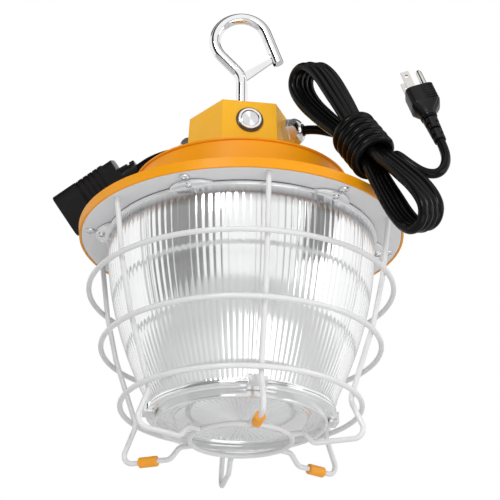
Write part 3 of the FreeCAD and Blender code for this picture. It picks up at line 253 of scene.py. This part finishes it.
BOARD = moulded("board_white", (0.80, 0.80, 0.79), 0.5)
CHIP = moulded("chip_yellow", (0.85, 0.74, 0.36), 0.4)
DRIVER = metal("driver_metal", (0.60, 0.61, 0.63), 0.4, 0.3)
TERMINAL = moulded("terminal_plastic", (0.72, 0.70, 0.64), 0.5)
INNER_WIRE = moulded("inner_wire_plastic", (0.60, 0.60, 0.62), 0.4)
CHROME = metal("chrome", (0.88, 0.88, 0.89), 0.04)
SCREW_ZINC = metal("screw_zinc", (0.78, 0.78, 0.79), 0.16)
NICKEL = metal("nickel", (0.74, 0.72, 0.69), 0.14)
STEEL = metal("zinc_steel", (0.66, 0.66, 0.67), 0.22, 0.1)
BLACK_RUBBER = moulded("black_rubber", (0.012, 0.012, 0.013), 0.5)
GREY_RUBBER = moulded("grey_rubber", (0.10, 0.10, 0.105), 0.6)
CORD_BLACK = moulded("cord_jacket", (0.0035, 0.0035, 0.0035), 0.20, 0.05, 900, 0.13)
PLUG_BLACK = moulded("plug_plastic", (0.006, 0.006, 0.007), 0.28, 0.12, 1800, 0.22)
SEAL_RING = moulded("seal_ring", (0.060, 0.030, 0.012), 0.25)
CONTACT = metal("brass_contact", (0.72, 0.58, 0.30), 0.3)

FINISHES = {
    "housing_paint": HOUSING_PAINT,
    "white_paint": WHITE_PAINT,
    "cage_paint": CAGE_PAINT,
    "sleeve_orange": SLEEVE,
    "clear_lens": LENS,
    "clear_cap": CAP,
    "white_plastic": CLIP,
    "heat_spreader": SPREADER,
    "board": BOARD,
    "chip": CHIP,
    "driver": DRIVER,
    "terminal": TERMINAL,
    "inner_wire": INNER_WIRE,
    "chrome": CHROME,
    "nickel": NICKEL,
    "steel": STEEL,
    "black_rubber": BLACK_RUBBER,
    "grey_rubber": GREY_RUBBER,
    "cord_black": CORD_BLACK,
    "black_plastic": PLUG_BLACK,
    "contact": CONTACT,
}
SLOTS = {part["node"]: part["material_slot"] for part in frame["record"]["subparts"]}


def finish_with(piece, material):
    """Puts one material on a node, in place of what it had."""
    piece.data.materials.clear()
    piece.data.materials.append(material)


for name, node in nodes.items():
    finish_with(node, FINISHES[SLOTS[name]])
finish_with(nodes["button_cap"], turned_metal("brushed_button"))
finish_with(nodes["cap_seal"], SILICONE)
finish_with(nodes["button_seal"], SEAL_RING)
# The wiring box takes the lighter copy of the housing paint, which paints the light falling on it into
# its colour.
finish_with(nodes["wiring_box"], HOUSING_PAINT_LIT)


# ---- geometry helpers ------------------------------------------------------------------------


def add_mesh(name, vertices, faces, material, body, slot_name):
    """A new smooth-shaded piece that rides on a body."""
    data = bpy.data.meshes.new(name)
    data.from_pydata([tuple(v) for v in vertices], [], faces)
    data.polygons.foreach_set("use_smooth", [True] * len(data.polygons))
    data.update()
    piece = bpy.data.objects.new(name, data)
    scene.collection.objects.link(piece)
    piece.data.materials.append(material)
    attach(piece, body)
    return piece


def shell(rings, closed_ends=True, closed_loop=False):
    """Vertices and faces of a skin over rings of equally many points."""
    count = len(rings[0])
    vertices = [point for ring in rings for point in ring]
    faces = []
    spans = len(rings) if closed_loop else len(rings) - 1
    for i in range(spans):
        low, high = i * count, ((i + 1) % len(rings)) * count
        for j in range(count):
            k = (j + 1) % count
            faces.append((low + j, low + k, high + k, high + j))
    if closed_ends and not closed_loop:
        faces.append(tuple(reversed(range(count))))
        faces.append(tuple(range(len(vertices) - count, len(vertices))))
    return vertices, faces


def squircle(half_x, half_y, power, count=64):
    """Points of a rounded rectangle; a power of 2 is an ellipse, and a higher one is squarer."""
    points = []
    for i in range(count):
        angle = 2 * math.pi * i / count
        c, s = math.cos(angle), math.sin(angle)
        x = half_x * math.copysign(abs(c) ** (2 / power), c)
        y = half_y * math.copysign(abs(s) ** (2 / power), s)
        points.append(Vector((x, y, 0)))
    return points


def sharpen(piece, angle=35):
    """Keeps hard edges hard under smooth shading."""
    modifier = piece.modifiers.new("edges", "EDGE_SPLIT")
    modifier.split_angle = math.radians(angle)


def soften(piece, width):
    """Rounds a node's hard edges."""
    modifier = piece.modifiers.new("soft_edges", "BEVEL")
    modifier.width = width
    modifier.segments = 3
    modifier.limit_method = "ANGLE"
    modifier.angle_limit = math.radians(35)


# ---- cords -----------------------------------------------------------------------------------

CORD = 0.0072
LEAD_ROUTE = [(70.9, -39.3, 252.8), (82.3, -60.0, 241.0), (80.5, -83.0, 230.7)]
TAIL_ROUTE = [
    (97.8, -107.9, 201.4),
    (105.2, -112.5, 191.9),
    (115.1, -115.1, 184.2),
    (125.3, -115.2, 184.2),
    (132.3, -112.2, 193.2),
    (135.0, -106.6, 207.0),
    (132.1, -103.2, 218.7),
]
HANK = place_along((0.0749, -0.0984, 0.2125), (0.343, -0.441, -0.829), (0.333, -0.769, 0.546))
PLUG = place_along((0.1321, -0.1032, 0.2187), (-0.233, 0.273, 0.933), (0.938, -0.184, 0.296))
SOCKET = place_along((-0.0772, 0.0446, 0.2529), (-0.765, 0.4415, -0.469), (0.606, 0.247, -0.751))


def gland_exit(azimuth, distance):
    """A point on a gland's axis, that far out from the wiring box's side."""
    draft = math.radians(2.5)
    gland_rise, box_rise, box_corner = 0.0875, 0.1037, 0.0419
    apothem = box_corner * math.cos(math.radians(30)) + (box_rise - gland_rise) * math.tan(draft)
    angle = math.radians(azimuth)
    east, south = math.sin(angle), -math.cos(angle)
    outwards = Vector((east * math.cos(draft), south * math.cos(draft), math.sin(draft)))
    face = Vector((east * apothem, south * apothem, RIM + gland_rise))
    return face + outwards * distance


def millimetres(route):
    """A route's points in metres."""
    return [Vector(point) / 1000 for point in route]


def smooth_cord(name, points):
    """A round cord along one smooth curve."""
    curve = bpy.data.curves.new(name, "CURVE")
    curve.dimensions = "3D"
    spline = curve.splines.new("NURBS")
    spline.points.add(len(points) - 1)
    for target, point in zip(spline.points, points):
        target.co = (*point, 1)
    spline.order_u = 3
    spline.use_endpoint_u = True
    spline.resolution_u = 8
    curve.bevel_depth = CORD / 2
    curve.bevel_resolution = 6
    curve.use_fill_caps = True
    piece = bpy.data.objects.new(name, curve)
    scene.collection.objects.link(piece)
    curve.materials.append(CORD_BLACK)
    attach(piece, "housing")
    return piece


def hank_points():
    """The cord's four long turns in a leaning stack, then five wraps round their middle."""
    pitch, lean = 7.25, 3.2
    half = [(21, 5.5), (40, 9.0), (57, 11.2), (72, 13.0), (87, 12.2), (96, 8.4), (100, 0.0)]
    outline = [(0, -4.2)] + [(0.98 * u, -w) for u, w in half]
    outline += [(0.98 * u, w) for u, w in reversed(half[:-1])] + [(0, 4.2)]
    outline += [(-1.03 * u, w) for u, w in half] + [(-1.03 * u, -w) for u, w in reversed(half[:-1])]
    points = []
    for turn in range(4):
        level = turn - 1.5
        for u, w in outline:
            gather = 0.62 + 0.38 * min(1.0, abs(u) / 60)
            sway = 0.5 * math.sin(turn * 2.1 + u * 0.03)
            points.append((w + sway, level * pitch * gather, u + level * lean))
    wraps, steps = 5.25, 14
    wrap_radius, stack = 15.2, 38.6
    start = math.radians(205)
    count = round(wraps * steps)
    for i in range(count + 1):
        share = i / count
        angle = start + share * wraps * 2 * math.pi
        along = stack * (share - 0.5)
        points.append((wrap_radius * math.cos(angle), wrap_radius * math.sin(angle), along))
    return [HANK @ (Vector(p) / 1000) for p in points]


# The mains gland is at 60 degrees and the outlet's at 240. A gland's mouth is 15.3 mm out, and each
# cord starts inside it.
lead = [gland_exit(60, 0.0093), gland_exit(60, 0.0222)] + millimetres(LEAD_ROUTE)
mains = smooth_cord("mains_cord", lead + hank_points() + millimetres(TAIL_ROUTE))
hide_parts("cord_lead", "cord_hank", "cord_tail")

outlet_route = [
    gland_exit(240, 0.0093),
    gland_exit(240, 0.0243),
    SOCKET @ Vector((0, 0, -0.013)),
    SOCKET @ Vector((0, 0, 0.0)),
    SOCKET @ Vector((0, 0, 0.008)),
]
outlet = smooth_cord("outlet_cord", outlet_route)
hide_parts("outlet_lead")


# ---- plug and outlet mouldings ---------------------------------------------------------------


def ribbed_relief(place, length, start, end, bands):
    """Rings of a tapered strain relief with staggered slots, along +Z of a place."""
    rings = []
    steps = 52
    for i in range(steps + 1):
        share = i / steps
        radius = start + (end - start) * share
        band = (share * bands) % 1.0
        row = int(share * bands)
        slot = 0.0016 if 0.55 < band < 0.85 and share < 0.95 else 0.0
        ring = []
        for point in squircle(1, 1, 2, 48):
            angle = math.atan2(point.y, point.x) + row * math.pi / 2
            reach = radius - (slot if abs(math.cos(angle)) > 0.5 else 0.0)
            ring.append(place @ Vector((point.x * reach, point.y * reach, share * length)))
        rings.append(ring)
    return rings


def plug_grip():
    """The plug's moulded body past its relief: collar, flared neck and a grip with finger ribs."""
    ribs, rib_depth, grip_start, grip_long = 6, 0.0013, 0.0355, 0.0150
    rings = []
    # Each row is a height, half widths across and through, squareness and shift to the earth side.
    profile = [
        (0.0238, 0.0064, 0.0064, 2.0, 0.0),
        (0.0252, 0.0066, 0.0066, 2.0, 0.0),
        (0.0262, 0.0062, 0.0062, 2.1, 0.0002),
        (0.0285, 0.0072, 0.0068, 2.4, 0.0006),
        (0.0315, 0.0095, 0.0080, 2.9, 0.0011),
        (0.0335, 0.0106, 0.0087, 3.4, 0.0014),
        (0.0350, 0.0110, 0.0091, 4.2, 0.0015),
    ]
    profile += [(grip_start + i * 0.00035, 0.0111, 0.0092, 5.0, 0.0015) for i in range(43)]
    profile += [
        (0.0509, 0.0111, 0.0092, 5.0, 0.0015),
        (0.0513, 0.0108, 0.0089, 5.0, 0.0015),
        (0.0515, 0.0103, 0.0084, 5.0, 0.0015),
    ]
    for z, half_x, half_y, power, shift in profile:
        share = (z - grip_start) / grip_long
        notch = rib_depth * (0.5 - 0.5 * math.cos(share * 2 * math.pi * ribs)) if 0 < share < 1 else 0.0
        ring = []
        for p in squircle(half_x, half_y, power, 64):
            grip = min(1.0, max(0.0, (p.x / half_x - 0.05) / 0.2))
            x = p.x * (1 - grip * notch / half_x) + shift
            y = p.y * (1 - grip * notch / half_y)
            ring.append(PLUG @ Vector((x, y, z)))
        rings.append(ring)
    return rings


def outlet_skin():
    """The outlet connector's skin: thick slotted relief, shouldered grip with ribs, plain end."""
    rings = ribbed_relief(SOCKET, 0.0135, 0.0082, 0.0092, 2)
    profile = [
        (0.0140, 0.0098, 0.0095, 2.2),
        (0.0152, 0.0128, 0.0112, 2.6),
        (0.0170, 0.0152, 0.0124, 3.4),
        (0.0195, 0.0168, 0.0130, 4.6),
        (0.0225, 0.0177, 0.0134, 6.5),
    ]
    for i in range(61):
        share = i / 60
        notch = 0.0009 if (share * 5) % 1.0 > 0.72 else 0.0
        profile.append((0.0235 + share * 0.0235, 0.0187 - notch, 0.0140 - 0.6 * notch, 8.0))
    profile += [
        (0.0475, 0.0180, 0.0135, 8.0),
        (0.0484, 0.0180, 0.0135, 8.0),
        (0.0487, 0.0188, 0.0141, 8.0),
        (0.0695, 0.0188, 0.0141, 8.0),
        (0.0702, 0.0183, 0.0137, 8.0),
        (0.0702, 0.0172, 0.0127, 7.0),
        (0.0690, 0.0172, 0.0127, 7.0),
    ]
    for z, half_x, half_y, power in profile:
        ring = []
        for p in squircle(half_x, half_y, power, 48):
            groove = 0.0008 if 0.0225 < z < 0.069 and abs(abs(p.x) - 0.011) < 0.0016 else 0.0
            ring.append(SOCKET @ Vector((p.x, p.y - math.copysign(groove, p.y), z)))
        rings.append(ring)
    return shell(rings, closed_ends=False)


def joined(*shells):
    """One set of vertices and faces from several."""
    vertices, faces = [], []
    for more, around in shells:
        faces += [tuple(i + len(vertices) for i in face) for face in around]
        vertices += more
    return vertices, faces


plug_relief = ribbed_relief(PLUG, 0.0235, 0.0046, 0.0058, 4)
plug_skin = joined(shell(plug_relief), shell(plug_grip()))
plug = add_mesh("plug_moulding", *plug_skin, PLUG_BLACK, "housing", "black_plastic")
sharpen(plug, 30)
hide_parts("plug_body")
outlet_cover = add_mesh("outlet_moulding", *outlet_skin(), PLUG_BLACK, "housing", "black_plastic")
sharpen(outlet_cover, 30)


# ---- fluted lens, cap and screw heads ---------------------------------------------------------

FLUTES = 118
PER_FLUTE = 8
SCREW_AZIMUTHS = [30, 90, 150, 210, 270, 330]
FLANGE = 0.0025
WALL_DEEP = 0.1365


def lens_radius(drop):
    """The bucket's outer radius at a depth below its flange: a long arc from wide to narrow."""
    share = (drop - FLANGE) / WALL_DEEP
    return 0.1029 - 0.0369 * share + 0.0363 * share * (1 - share)


def lug(turn):
    """How far the flange reaches out at an angle for its six rounded lugs."""
    half_angle, height = 0.16, 0.0078
    reach = 0.0
    for azimuth in SCREW_AZIMUTHS:
        apart = (turn - math.radians(azimuth - 90) + math.pi) % (2 * math.pi) - math.pi
        reach = max(reach, math.cos(min(1.0, abs(apart) / half_angle) * math.pi / 2))
    return height * reach ** 0.6


def lens_skin():
    """The bucket with its lugged flange, fluted wall and foot, as one closed skin."""
    count = FLUTES * PER_FLUTE
    turns = [2 * math.pi * i / count for i in range(count)]
    wall, flute_deep = 0.0024, 0.0003

    def ring(radius, drop, flute=0.0, lugs=False):
        points = []
        for i, turn in enumerate(turns):
            rib = flute * (abs(math.cos(math.pi * i / PER_FLUTE)) - 1)
            r = radius + rib + (lug(turn) if lugs else 0.0)
            points.append(Vector((r * math.cos(turn), r * math.sin(turn), RIM - drop)))
        return points

    rings = [
        ring(0.1005, 0.0005), ring(0.1042, 0.0005, lugs=True), ring(0.1045, 0.0008, lugs=True),
        ring(0.1045, 0.0022, lugs=True), ring(0.1042, 0.0025, lugs=True),
    ]
    rows = 26
    drops = [FLANGE + WALL_DEEP * i / rows for i in range(rows + 1)]
    for i, drop in enumerate(drops):
        rings.append(ring(lens_radius(drop), drop, 0.0 if i == 0 else flute_deep))
    rings += [ring(0.0702, 0.1390), ring(0.0705, 0.1394), ring(0.0705, 0.1410), ring(0.0636, 0.1410)]
    for drop in reversed(drops):
        rings.append(ring(lens_radius(drop) - wall, drop))
    return shell(rings, closed_ends=False, closed_loop=True)


def cap_skin():
    """The end cap: flange, skirt and a shallow disc whose flutes fan out from its middle."""
    count, flutes = 720, 72
    low = RIM - 0.1432

    def ring(radius, height, flute=0.0):
        points = []
        for i in range(count):
            turn = 2 * math.pi * i / count
            rib = flute * abs(math.sin(flutes * turn / 2))
            points.append(Vector((radius * math.cos(turn), radius * math.sin(turn), height - rib)))
        return points

    rings = [
        ring(0.0004, RIM - 0.1412), ring(0.0700, RIM - 0.1412), ring(0.0705, RIM - 0.1416),
        ring(0.0705, low + 0.0004), ring(0.0701, low), ring(0.0672, low), ring(0.0668, low + 0.0006),
        ring(0.0652, low + 0.0006), ring(0.0640, low), ring(0.0640, RIM - 0.1494),
        ring(0.0634, RIM - 0.1500), ring(0.0622, RIM - 0.1500), ring(0.0616, RIM - 0.1494),
        ring(0.0616, low - 0.0002), ring(0.0596, low), ring(0.0592, low - 0.0008),
        ring(0.0560, low - 0.0008), ring(0.0556, low), ring(0.0520, low), ring(0.0516, low - 0.0010),
        ring(0.0500, low - 0.0014), ring(0.0492, low - 0.0006),
    ]
    for i in range(13):
        share = i / 12
        radius, height = 0.0490 - 0.0476 * share, low - 0.0006 - 0.0032 * share
        rings.append(ring(radius, height, 0.0013 * (1 - share)))
    rings.append(ring(0.0004, low - 0.0038))
    return shell(rings, closed_ends=False, closed_loop=True)


def screw_heads(circle, radius, tall, low):
    """Pan heads with a cross recess, on the six screw places."""
    made = []
    steps, spokes = 14, 48
    for azimuth in SCREW_AZIMUTHS:
        angle = math.radians(azimuth)
        centre = Vector((circle * math.sin(angle), -circle * math.cos(angle), low))
        rings = []
        for i in range(1, steps + 1):
            share = i / steps
            ring = []
            for j in range(spokes):
                turn = 2 * math.pi * j / spokes
                x, y = share * radius * math.cos(turn), share * radius * math.sin(turn)
                height = tall * math.sqrt(max(0.0, 1 - 0.92 * share ** 4))
                arm = min(abs(x), abs(y)) < 0.16 * radius and max(abs(x), abs(y)) < 0.62 * radius
                recess = 0.55 * tall if arm else 0.0
                ring.append(centre + Vector((x, y, -(height - recess))))
            rings.append(ring)
        rings.append([centre + Vector((p.x - centre.x, p.y - centre.y, 0)) for p in rings[-1]])
        made.append(shell(rings))
    return joined(*made)


lens = add_mesh("fluted_lens", *lens_skin(), LENS, "housing", "clear_lens")
sharpen(lens, 50)
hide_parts("lens_bucket")
end_cap = add_mesh("fluted_cap", *cap_skin(), CAP, "housing", "clear_cap")
sharpen(end_cap, 40)
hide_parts("lens_cap")
# Each row is a piece, its node, the screws' circle, a head's radius and height, and the face it is on.
HEADS = [
    ("plate_screw_heads", "plate_screws", 0.117, 0.0040, 0.0024, RIM + 0.0003),
    ("lens_screw_heads", "lens_screws", 0.1083, 0.0030, 0.0020, RIM - FLANGE),
]
for name, node, circle, radius, tall, low in HEADS:
    heads = add_mesh(name, *screw_heads(circle, radius, tall, low), SCREW_ZINC, "housing", "steel")
    sharpen(heads, 40)
    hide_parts(node)
for name, width in (("wiring_box", 0.0006), ("bell_housing", 0.0003), ("top_lid", 0.0003)):
    soften(nodes[name], width)


# ---- light, world and floor ------------------------------------------------------------------


def area_light(name, location, target, size, power):
    """A soft rectangular light that looks at a point."""
    data = bpy.data.lights.new(name, "AREA")
    data.shape = "RECTANGLE"
    data.size, data.size_y = size
    data.energy = power
    lamp = bpy.data.objects.new(name, data)
    lamp.location = location
    lamp.rotation_euler = (Vector(target) - Vector(location)).to_track_quat("-Z", "Y").to_euler()
    scene.collection.objects.link(lamp)


area_light("key", (-0.95, -2.0, 1.2), (0, 0, 0.25), (0.7, 0.7), 17)
area_light("fill", (1.9, -1.2, 0.5), (0, 0, 0.2), (0.8, 1.2), 7)
area_light("under", (0.2, -0.9, -0.68), (0, 0, 0.1), (1.0, 1.0), 4.5)


def studio_world():
    """A white studio with soft dark gaps between its screens, and a dark ceiling behind the lamp."""
    world = bpy.data.worlds.new("studio")
    scene.world = world
    world.use_nodes = True
    tree = world.node_tree
    tree.nodes.clear()
    coordinates = tree.nodes.new("ShaderNodeTexCoord")
    split = tree.nodes.new("ShaderNodeSeparateXYZ")
    tree.links.new(coordinates.outputs["Generated"], split.inputs["Vector"])
    turn = tree.nodes.new("ShaderNodeMath")
    turn.operation = "ARCTAN2"
    tree.links.new(split.outputs["Y"], turn.inputs[0])
    tree.links.new(split.outputs["X"], turn.inputs[1])
    share = between(tree, turn.outputs[0], -math.pi, math.pi)
    bright, dim, dark = (1.0, 1.0, 1.0), (0.35, 0.35, 0.35), (0.05, 0.05, 0.05)
    far = (0.55, 0.55, 0.55)

    def at(degrees):
        """An azimuth's place on the ramp."""
        return (degrees + 180) / 360

    screens = ramp(
        tree, share,
        (at(-180), bright), (at(-175), bright), (at(-168), dark), (at(-130), dark), (at(-124), bright),
        (at(-56), bright), (at(-50), dim), (at(-30), dim), (at(-22), bright), (at(46), bright),
        (at(50), far), (at(64), far), (at(67), bright), (at(92), bright), (at(95), far), (at(112), far),
        (at(118), bright),
    )
    ceiling = tree.nodes.new("ShaderNodeMath")
    ceiling.operation = "MULTIPLY"
    tree.links.new(between(tree, split.outputs["Z"], 0.60, 0.68), ceiling.inputs[0])
    tree.links.new(between(tree, split.outputs["Y"], 0.0, 0.15), ceiling.inputs[1])
    mix = tree.nodes.new("ShaderNodeMix")
    mix.data_type = "RGBA"
    tree.links.new(ceiling.outputs[0], mix.inputs["Factor"])
    tree.links.new(screens, mix.inputs[6])
    mix.inputs[7].default_value = (0.06, 0.06, 0.06, 1)
    background = tree.nodes.new("ShaderNodeBackground")
    background.inputs["Strength"].default_value = 1.0
    output = tree.nodes.new("ShaderNodeOutputWorld")
    tree.links.new(mix.outputs[2], background.inputs["Color"])
    tree.links.new(background.outputs["Background"], output.inputs["Surface"])


studio_world()

PALE = (0.93, 0.93, 0.93)
FLOOR, REACH = -0.8, 9
floor_material, floor_tree, floor_shader = new_material("floor_pale", PALE, 0.7)
worn(floor_tree, floor_shader, PALE, 0.01, 2)
floor_corners = [
    (-REACH, -REACH, FLOOR), (REACH, -REACH, FLOOR), (REACH, REACH, FLOOR), (-REACH, REACH, FLOOR),
]
floor_data = bpy.data.meshes.new("floor")
floor_data.from_pydata(floor_corners, [], [(0, 1, 2, 3)])
floor = bpy.data.objects.new("floor", floor_data)
scene.collection.objects.link(floor)
floor_data.materials.append(floor_material)
